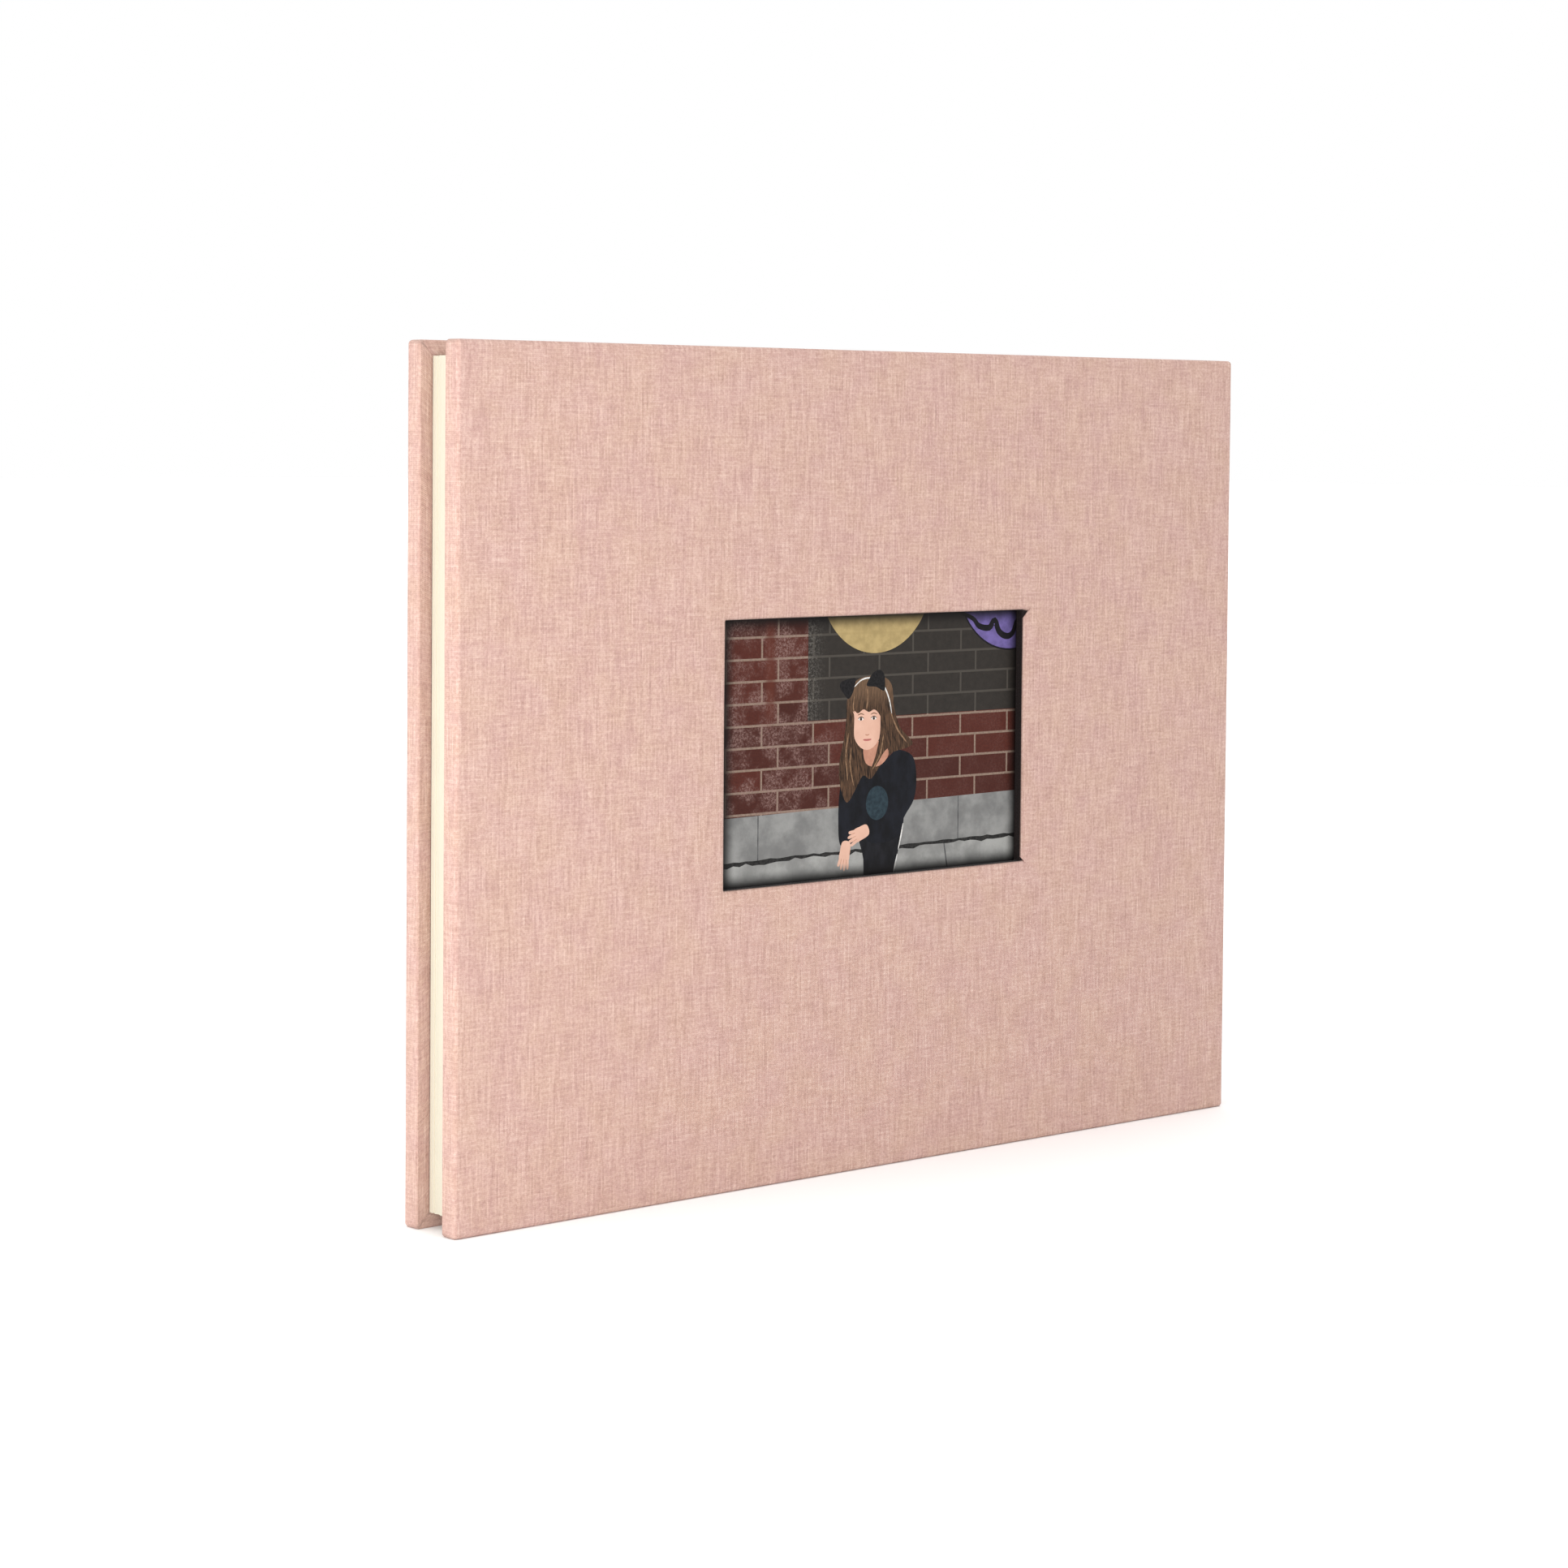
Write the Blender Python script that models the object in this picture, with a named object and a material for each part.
"""A scrapbook album standing on its tail edge, shut, with a picture window in its front cover.

+X runs from the fore edge to the spine, +Y from the front cover to the back cover and +Z from
tail to head. The origin is the bottom centre of the bounding box. All lengths are in metres.
A depth is counted from a cover's outer face towards the leaves.
"""

import math

import bmesh
import bpy

MM = 0.001

# Covers
COVER_WIDTH = 286.0 * MM
COVER_HEIGHT = 224.0 * MM
CORNER_RADIUS = 1.5 * MM  # in the plane of the cover
FACE_EDGE_RADIUS = 1.2 * MM  # where the cloth turns from the outer face to an edge
INSIDE_EDGE_RADIUS = 0.6 * MM  # where it turns from an edge to the inside
CLOTH_THICKNESS = 0.4 * MM
TURN_IN = 5.0 * MM  # width of the cloth border inside a cover
GAP = 0.3 * MM  # between pieces that lie against each other

# Board layers of the covers
OUTER_BOARD_THICKNESS = 2.1 * MM
BACKING_BOARD_THICKNESS = 0.7 * MM
BOARD_CHAMFER = 0.4 * MM
POCKET_GAP = 0.25 * MM  # from a pocket layer to the next
POCKET_PLAY = 0.1 * MM  # more than the print and its card need

# Picture window, and the print behind it
WINDOW_WIDTH = 111.0 * MM
WINDOW_HEIGHT = 71.5 * MM
WINDOW_RISE = 4.25 * MM  # of its centre above the middle of the cover
WINDOW_EDGE_RADIUS = 0.5 * MM
WINDOW_CORNER_RADIUS = 0.3 * MM
PRINT_WIDTH = 127.0 * MM
PRINT_HEIGHT = 89.0 * MM
PRINT_THICKNESS = 0.25 * MM
CARRIER_THICKNESS = 0.3 * MM
CARRIER_BELOW_HEAD = 1.4 * MM
PRINT_SIDE_PLAY = 1.0 * MM
SLOT_PLAY = 0.2 * MM  # of the mouth in the head edge, round what slides out of it

# Leaves
LEAF_COUNT = 16
LEAF_THICKNESS = 0.34 * MM
LEAF_GAP = 0.3 * MM
COVER_OVERHANG = 4.0 * MM  # past the leaves at head, tail and fore edge
SCORE_STEP = 0.7 * MM  # each leaf towards the middle is scored this much further in
SCORE_TO_LEAF = 0.2 * MM
SCORE_TO_STRIP = 0.25 * MM

# Spine
SPINE_BOARD_THICKNESS = 2.0 * MM
SPINE_TURN_IN = 12.0 * MM
BAND_FLAP_THICKNESS = 0.4 * MM
BAND_FLAP_LENGTH = 12.0 * MM
BAND_ROLL_RADIUS = 0.9 * MM
HINGE_PAST_SPINE = 0.2 * MM
HINGE_IN_COVER = 0.4 * MM

# Binding posts, which run through the bound strips of the leaves
POST_SPACING = 80.0 * MM
POST_RADIUS = 2.5 * MM
POST_BORE_RADIUS = 1.7 * MM
POST_HEAD_RADIUS = 5.5 * MM
POST_HEAD_THICKNESS = 0.8 * MM
POST_FLOOR = 0.5 * MM
SCREW_RADIUS = 1.5 * MM
STRIP_HOLE_CLEARANCE = 0.3 * MM
SPINE_MARGIN = 1.3 * MM  # of paper from a wide hole to the strip's edge at the spine
SCORE_MARGIN = 0.7 * MM  # of paper from a wide hole to the outermost leaf's score
HEAD_STRIPS = 2  # strips with a wide hole for each head, under the one that hides it

ROUND_SEGMENTS = 20
CORNER_STEPS = 3
ARC_STEPS = 3

# Sizes that follow from those above
BOARD_INSET = CLOTH_THICKNESS + GAP
OUTER_BOARD_END = BOARD_INSET + OUTER_BOARD_THICKNESS
SPACER_THICKNESS = PRINT_THICKNESS + POCKET_GAP + CARRIER_THICKNESS + POCKET_PLAY
SPACER_DEPTH = OUTER_BOARD_END + POCKET_GAP
SPACER_END = SPACER_DEPTH + SPACER_THICKNESS
BACKING_DEPTH = SPACER_END + POCKET_GAP
INNER_BOARD_END = BACKING_DEPTH + BACKING_BOARD_THICKNESS
INNER_LAYER_DEPTH = INNER_BOARD_END + GAP
COVER_THICKNESS = INNER_LAYER_DEPTH + CLOTH_THICKNESS
LEAF_PITCH = LEAF_THICKNESS + LEAF_GAP
BLOCK_SPACE = LEAF_COUNT * LEAF_THICKNESS + (LEAF_COUNT + 1) * LEAF_GAP
HALF_THICKNESS = BLOCK_SPACE / 2 + COVER_THICKNESS
HALF_WIDTH = COVER_WIDTH / 2
PRINT_END = SPACER_DEPTH + PRINT_THICKNESS
CARRIER_DEPTH = PRINT_END + POCKET_GAP
CARRIER_END = CARRIER_DEPTH + CARRIER_THICKNESS
WINDOW_MIDDLE = COVER_HEIGHT / 2 + WINDOW_RISE
PRINT_BOTTOM = WINDOW_MIDDLE - PRINT_HEIGHT / 2
SPINE_INNER_LAYER = HALF_WIDTH - BOARD_INSET - SPINE_BOARD_THICKNESS - GAP
SPINE_HALF = BLOCK_SPACE / 2 - GAP
BAND_FLAP_OUTER = SPINE_INNER_LAYER - CLOTH_THICKNESS - GAP
STRIP_END = BAND_FLAP_OUTER - BAND_FLAP_THICKNESS - GAP
WIDE_HOLE_RADIUS = POST_HEAD_RADIUS + STRIP_HOLE_CLEARANCE
POST_X = STRIP_END - SPINE_MARGIN - WIDE_HOLE_RADIUS
OUTER_SCORE_X = POST_X - WIDE_HOLE_RADIUS - SCORE_MARGIN
LEAF_BOTTOM = COVER_OVERHANG
LEAF_TOP = COVER_HEIGHT - COVER_OVERHANG

FRONT = -1
BACK = 1

CLOTH_PINK = (0.72, 0.45, 0.38)
BOARD_GREY = (0.34, 0.32, 0.29)
PAPER_CREAM = (0.88, 0.83, 0.70)
PRINT_BROWN = (0.16, 0.08, 0.07)
CARD_BLACK = (0.02, 0.02, 0.02)
BRASS = (0.70, 0.52, 0.25)


def clear_scene():
    for item in list(bpy.data.objects):
        bpy.data.objects.remove(item, do_unlink=True)


def make_material(name, colour, roughness, metallic=0.0):
    material = bpy.data.materials.new(name)
    material.use_nodes = True
    shader = material.node_tree.nodes["Principled BSDF"]
    shader.inputs["Base Color"].default_value = (*colour, 1.0)
    shader.inputs["Roughness"].default_value = roughness
    shader.inputs["Metallic"].default_value = metallic
    return material


def make_object(name, shape, finish, origin=(0.0, 0.0, 0.0), smooth=False):
    """Makes an object from a bmesh, with its origin at the given point and its own material."""
    bmesh.ops.remove_doubles(shape, verts=shape.verts, dist=0.001 * MM)
    bmesh.ops.recalc_face_normals(shape, faces=shape.faces)
    bmesh.ops.translate(shape, verts=shape.verts, vec=[-value for value in origin])
    mesh = bpy.data.meshes.new(name)
    shape.to_mesh(mesh)
    shape.free()
    if smooth:
        mesh.polygons.foreach_set("use_smooth", [True] * len(mesh.polygons))
        mesh.set_sharp_from_angle(angle=math.radians(40))
    item = bpy.data.objects.new(name, mesh)
    item.location = origin
    bpy.context.scene.collection.objects.link(item)
    item.data.materials.append(make_material(name, *finish))
    return item


def make_cutter(name, shape):
    cutter = make_object(name, shape, (CARD_BLACK, 1.0))
    cutter.hide_render = True
    cutter.display_type = "WIRE"
    return cutter


def cut(item, cutter):
    modifier = item.modifiers.new(cutter.name, "BOOLEAN")
    modifier.operation = "DIFFERENCE"
    modifier.solver = "EXACT"
    modifier.object = cutter


def loft(loops, ring, shape=None):
    """Joins loops of equal length. A ring also joins the last to the first; else both get a cap."""
    if shape is None:
        shape = bmesh.new()
    rows = [[shape.verts.new(point) for point in loop] for loop in loops]
    pairs = list(zip(rows, rows[1:]))
    if ring:
        pairs.append((rows[-1], rows[0]))
    else:
        shape.faces.new(rows[0])
        shape.faces.new(rows[-1])
    count = len(loops[0])
    for row, after in pairs:
        for n in range(count):
            m = (n + 1) % count
            shape.faces.new((row[n], row[m], after[m], after[n]))
    return shape


def extrude_outline(points, low_y, high_y):
    """A solid with the given outline in X and Z."""
    return loft([[(x, y, z) for x, z in points] for y in (low_y, high_y)], ring=False)


def box(low, high):
    points = [(low[0], low[2]), (high[0], low[2]), (high[0], high[2]), (low[0], high[2])]
    return extrude_outline(points, low[1], high[1])


def revolve(profile, centre_x, centre_z, shape=None):
    """Turns (radius, y) points, the first and last of them on the axis, about a line along Y."""
    turns = [2 * math.pi * n / ROUND_SEGMENTS for n in range(ROUND_SEGMENTS)]
    loops = [
        [(centre_x + radius * math.cos(a), y, centre_z + radius * math.sin(a)) for a in turns]
        for radius, y in profile
    ]
    return loft(loops, False, shape)


def outline(low_x, high_x, low_z, high_z, radius):
    """(x, z) points of a rectangle with rounded corners."""
    points = []
    corners = (
        (high_x - radius, high_z - radius, 0),
        (low_x + radius, high_z - radius, 90),
        (low_x + radius, low_z + radius, 180),
        (high_x - radius, low_z + radius, 270),
    )
    for x, z, start in corners:
        for step in range(CORNER_STEPS + 1):
            angle = math.radians(start + 90 * step / CORNER_STEPS)
            points.append((x + radius * math.cos(angle), z + radius * math.sin(angle)))
    return points


def cover_outline(inset):
    return outline(
        inset - HALF_WIDTH,
        HALF_WIDTH - inset,
        inset,
        COVER_HEIGHT - inset,
        max(CORNER_RADIUS - inset, 0.0),
    )


def window_outline(outset):
    half_width = WINDOW_WIDTH / 2 + outset
    half_height = WINDOW_HEIGHT / 2 + outset
    return outline(
        -half_width,
        half_width,
        WINDOW_MIDDLE - half_height,
        WINDOW_MIDDLE + half_height,
        WINDOW_CORNER_RADIUS + outset,
    )


def at_depth(points, side, depth):
    y = side * (HALF_THICKNESS - depth)
    return [(x, y, z) for x, z in points]


def depths_to_y(side, outer_depth, inner_depth):
    return sorted(side * (HALF_THICKNESS - depth) for depth in (outer_depth, inner_depth))


def edge_steps():
    """(1 - sin, 1 - cos) of the angles across a rounded edge."""
    angles = [math.pi / 2 * step / ARC_STEPS for step in range(ARC_STEPS + 1)]
    return [(1 - math.sin(a), 1 - math.cos(a)) for a in angles]


def cloth_loops(side):
    """The cloth's section from the outer face round the board's edge to the inside and back."""
    inner_radius = FACE_EDGE_RADIUS - CLOTH_THICKNESS
    outside = [
        (FACE_EDGE_RADIUS * inwards, FACE_EDGE_RADIUS * deep) for inwards, deep in edge_steps()
    ]
    round_inside = [
        (INSIDE_EDGE_RADIUS * inwards, COVER_THICKNESS - INSIDE_EDGE_RADIUS * deep)
        for inwards, deep in reversed(edge_steps())
    ]
    turn_in = [
        (TURN_IN, COVER_THICKNESS),
        (TURN_IN, INNER_LAYER_DEPTH),
        (CLOTH_THICKNESS, INNER_LAYER_DEPTH),
    ]
    lining = [
        (CLOTH_THICKNESS + inner_radius * inwards, CLOTH_THICKNESS + inner_radius * deep)
        for inwards, deep in reversed(edge_steps())
    ]
    section = outside + round_inside + turn_in + lining
    return [at_depth(cover_outline(inset), side, depth) for inset, depth in section]


def window_loops():
    """The section where the cloth turns through the window, from the lining to the outer face."""
    behind = [
        (CLOTH_THICKNESS, CLOTH_THICKNESS),
        (CLOTH_THICKNESS, OUTER_BOARD_END),
        (0.0, OUTER_BOARD_END),
    ]
    rounded = [
        (WINDOW_EDGE_RADIUS * outwards, WINDOW_EDGE_RADIUS * deep)
        for outwards, deep in reversed(edge_steps())
    ]
    return [at_depth(window_outline(outset), FRONT, depth) for outset, depth in behind + rounded]


def make_cover_cloth(name, side, origin):
    finish = (CLOTH_PINK, 0.9)
    if side == BACK:
        return make_object(name, loft(cloth_loops(side), ring=False), finish, origin, smooth=True)
    shape = loft(cloth_loops(side) + window_loops(), ring=True)
    cloth = make_object(name, shape, finish, origin, smooth=True)
    half = PRINT_WIDTH / 2 + PRINT_SIDE_PLAY
    low_y, high_y = depths_to_y(side, SPACER_DEPTH - SLOT_PLAY, CARRIER_END + SLOT_PLAY)
    mouth = box(
        (-half, low_y, COVER_HEIGHT - 2 * CLOTH_THICKNESS),
        (half, high_y, COVER_HEIGHT + CLOTH_THICKNESS),
    )
    cut(cloth, make_cutter("pocket_mouth_cutter", mouth))
    return cloth


def make_outer_board(name, side, origin):
    """The board behind the cloth, chamfered to follow it; the front one has the window."""
    section = [
        (BOARD_INSET, OUTER_BOARD_END),
        (BOARD_INSET, BOARD_INSET + BOARD_CHAMFER),
        (BOARD_INSET + BOARD_CHAMFER, BOARD_INSET),
    ]
    loops = [at_depth(cover_outline(inset), side, depth) for inset, depth in section]
    if side == FRONT:
        for depth in (BOARD_INSET, OUTER_BOARD_END):
            loops.append(at_depth(window_outline(BOARD_INSET), side, depth))
    make_object(name, loft(loops, ring=side == FRONT), (BOARD_GREY, 0.9), origin)


def make_inner_board(name, side, outer_depth, origin):
    low_y, high_y = depths_to_y(side, outer_depth, INNER_BOARD_END)
    shape = extrude_outline(cover_outline(BOARD_INSET), low_y, high_y)
    make_object(name, shape, (BOARD_GREY, 0.9), origin)


def make_spacer(origin):
    """A U of card, open at the head, that leaves the print's pocket between two boards."""
    half = PRINT_WIDTH / 2 + PRINT_SIDE_PLAY
    floor = PRINT_BOTTOM - GAP
    top = COVER_HEIGHT - BOARD_INSET
    points = cover_outline(BOARD_INSET)
    first_corner = CORNER_STEPS + 1
    channel = [(half, top), (half, floor), (-half, floor), (-half, top)]
    points = points[:first_corner] + channel + points[first_corner:]
    low_y, high_y = depths_to_y(FRONT, SPACER_DEPTH, SPACER_END)
    shape = extrude_outline(points, low_y, high_y)
    make_object("front_spacer_card", shape, (BOARD_GREY, 0.9), origin)


def make_pastedown(name, side, origin):
    inset = TURN_IN + GAP
    low_y, high_y = depths_to_y(side, INNER_LAYER_DEPTH, COVER_THICKNESS)
    low = (inset - HALF_WIDTH, low_y, inset)
    high = (HALF_WIDTH - inset, high_y, COVER_HEIGHT - inset)
    make_object(name, box(low, high), (PAPER_CREAM, 0.85), origin)


def make_photo():
    """The print and the card that carries it, which slide out at the head together."""
    origin = (0.0, FRONT * (HALF_THICKNESS - SPACER_DEPTH), PRINT_BOTTOM)
    half = PRINT_WIDTH / 2
    low_y, high_y = depths_to_y(FRONT, SPACER_DEPTH, PRINT_END)
    picture = box((-half, low_y, PRINT_BOTTOM), (half, high_y, PRINT_BOTTOM + PRINT_HEIGHT))
    make_object("photo_print", picture, (PRINT_BROWN, 0.35), origin)
    low_y, high_y = depths_to_y(FRONT, CARRIER_DEPTH, CARRIER_END)
    carrier = box((-half, low_y, PRINT_BOTTOM), (half, high_y, COVER_HEIGHT - CARRIER_BELOW_HEAD))
    make_object("photo_carrier", carrier, (CARD_BLACK, 0.8), origin)


def make_covers():
    for name, side in (("front", FRONT), ("back", BACK)):
        hinge = (HALF_WIDTH + HINGE_PAST_SPINE, side * (BLOCK_SPACE / 2 + HINGE_IN_COVER), 0.0)
        make_cover_cloth(f"{name}_cover_cloth", side, hinge)
        make_pastedown(f"{name}_pastedown", side, hinge)
        if side == FRONT:
            make_outer_board("front_window_board", side, hinge)
            make_spacer(hinge)
            make_inner_board("front_backing_board", side, BACKING_DEPTH, hinge)
        else:
            make_outer_board("back_outer_board", side, hinge)
            make_inner_board("back_inner_board", side, OUTER_BOARD_END + GAP, hinge)


def make_spine():
    """The spine's cloth, which wraps its board at head and tail, the board and the lining."""
    outer = HALF_WIDTH
    inner = SPINE_INNER_LAYER - CLOTH_THICKNESS
    wrap = CLOTH_THICKNESS
    top = COVER_HEIGHT
    cloth = [
        (outer, 0.0),
        (outer, top),
        (inner, top),
        (inner, top - SPINE_TURN_IN),
        (inner + wrap, top - SPINE_TURN_IN),
        (inner + wrap, top - wrap),
        (outer - wrap, top - wrap),
        (outer - wrap, wrap),
        (inner + wrap, wrap),
        (inner + wrap, SPINE_TURN_IN),
        (inner, SPINE_TURN_IN),
        (inner, 0.0),
    ]
    make_object("spine_cloth", extrude_outline(cloth, -SPINE_HALF, SPINE_HALF), (CLOTH_PINK, 0.9))
    board_outer = outer - BOARD_INSET
    board_low = (board_outer - SPINE_BOARD_THICKNESS, -SPINE_HALF, BOARD_INSET)
    board_high = (board_outer, SPINE_HALF, top - BOARD_INSET)
    make_object("spine_board", box(board_low, board_high), (BOARD_GREY, 0.9))
    lining_low = (inner, -SPINE_HALF, SPINE_TURN_IN + GAP)
    lining_high = (inner + wrap, SPINE_HALF, top - SPINE_TURN_IN - GAP)
    make_object("spine_lining", box(lining_low, lining_high), (PAPER_CREAM, 0.85))


def make_bands():
    """A rolled cloth band at each end of the block's spine edge, with a flap down its back."""
    outer = BAND_FLAP_OUTER
    inner = outer - BAND_FLAP_THICKNESS
    rest = LEAF_TOP + GAP
    roll_x = outer - BAND_ROLL_RADIUS
    roll_z = rest + BAND_ROLL_RADIUS
    profile = [(inner, rest - BAND_FLAP_LENGTH), (outer, rest - BAND_FLAP_LENGTH)]
    for step in range(ROUND_SEGMENTS * 3 // 4 + 1):
        angle = 2 * math.pi * step / ROUND_SEGMENTS
        x = roll_x + BAND_ROLL_RADIUS * math.cos(angle)
        profile.append((x, roll_z + BAND_ROLL_RADIUS * math.sin(angle)))
    profile.append((inner, rest))
    mirrored = [(x, COVER_HEIGHT - z) for x, z in profile]
    for name, points in (("headband", profile), ("tailband", mirrored)):
        shape = extrude_outline(points, -SPINE_HALF, SPINE_HALF)
        make_object(name, shape, (CLOTH_PINK, 0.8), smooth=True)


def post_heights():
    middle = COVER_HEIGHT / 2
    return {"lower": middle - POST_SPACING, "middle": middle, "upper": middle + POST_SPACING}


def make_hole_cutter(name, radius):
    shape = bmesh.new()
    reach = BLOCK_SPACE
    column = [(0.0, -reach), (radius, -reach), (radius, reach), (0.0, reach)]
    for height in post_heights().values():
        revolve(column, POST_X, height, shape)
    return make_cutter(name, shape)


def leaf_y(number):
    return (number - (LEAF_COUNT + 1) / 2) * LEAF_PITCH


def score_x(number):
    steps_in = min(number - 1, LEAF_COUNT - number)
    return OUTER_SCORE_X - steps_in * SCORE_STEP


def make_leaves():
    """Each leaf is one sheet: a strip held in the binding, and the leaf that folds at its score."""
    post_cutter = make_hole_cutter("post_hole_cutter", POST_RADIUS + STRIP_HOLE_CLEARANCE)
    head_cutter = make_hole_cutter("head_hole_cutter", WIDE_HOLE_RADIUS)
    finish = (PAPER_CREAM, 0.85)
    half = LEAF_THICKNESS / 2
    for number in range(1, LEAF_COUNT + 1):
        y = leaf_y(number)
        score = score_x(number)
        leaf = box(
            (COVER_OVERHANG - HALF_WIDTH, y - half, LEAF_BOTTOM),
            (score - SCORE_TO_LEAF, y + half, LEAF_TOP),
        )
        make_object(f"leaf_{number:02d}", leaf, finish, (score, y, 0.0))
        strip_shape = box(
            (score + SCORE_TO_STRIP, y - half, LEAF_BOTTOM), (STRIP_END, y + half, LEAF_TOP)
        )
        strip = make_object(f"leaf_strip_{number:02d}", strip_shape, finish)
        from_outside = min(number - 1, LEAF_COUNT - number)
        if 1 <= from_outside <= HEAD_STRIPS:
            cut(strip, head_cutter)
        elif from_outside > HEAD_STRIPS:
            cut(strip, post_cutter)


def make_posts():
    """Posts with their heads towards the front cover, and screws that enter them from the back."""
    head_outer = BLOCK_SPACE / 2 - LEAF_THICKNESS - 2 * LEAF_GAP
    head_inner = head_outer - POST_HEAD_THICKNESS
    bore_floor = POST_FLOOR - head_inner
    post = [
        (0.0, -head_outer),
        (POST_HEAD_RADIUS, -head_outer),
        (POST_HEAD_RADIUS, -head_inner),
        (POST_RADIUS, -head_inner),
        (POST_RADIUS, head_inner - GAP),
        (POST_BORE_RADIUS, head_inner - GAP),
        (POST_BORE_RADIUS, bore_floor),
        (0.0, bore_floor),
    ]
    screw = [
        (0.0, head_outer),
        (POST_HEAD_RADIUS, head_outer),
        (POST_HEAD_RADIUS, head_inner),
        (SCREW_RADIUS, head_inner),
        (SCREW_RADIUS, bore_floor + GAP),
        (0.0, bore_floor + GAP),
    ]
    for place, height in post_heights().items():
        for name, profile in (("post", post), ("screw", screw)):
            shape = revolve(profile, POST_X, height)
            make_object(f"binding_{name}_{place}", shape, (BRASS, 0.3, 1.0), smooth=True)


clear_scene()
make_covers()
make_photo()
make_spine()
make_bands()
make_leaves()
make_posts()
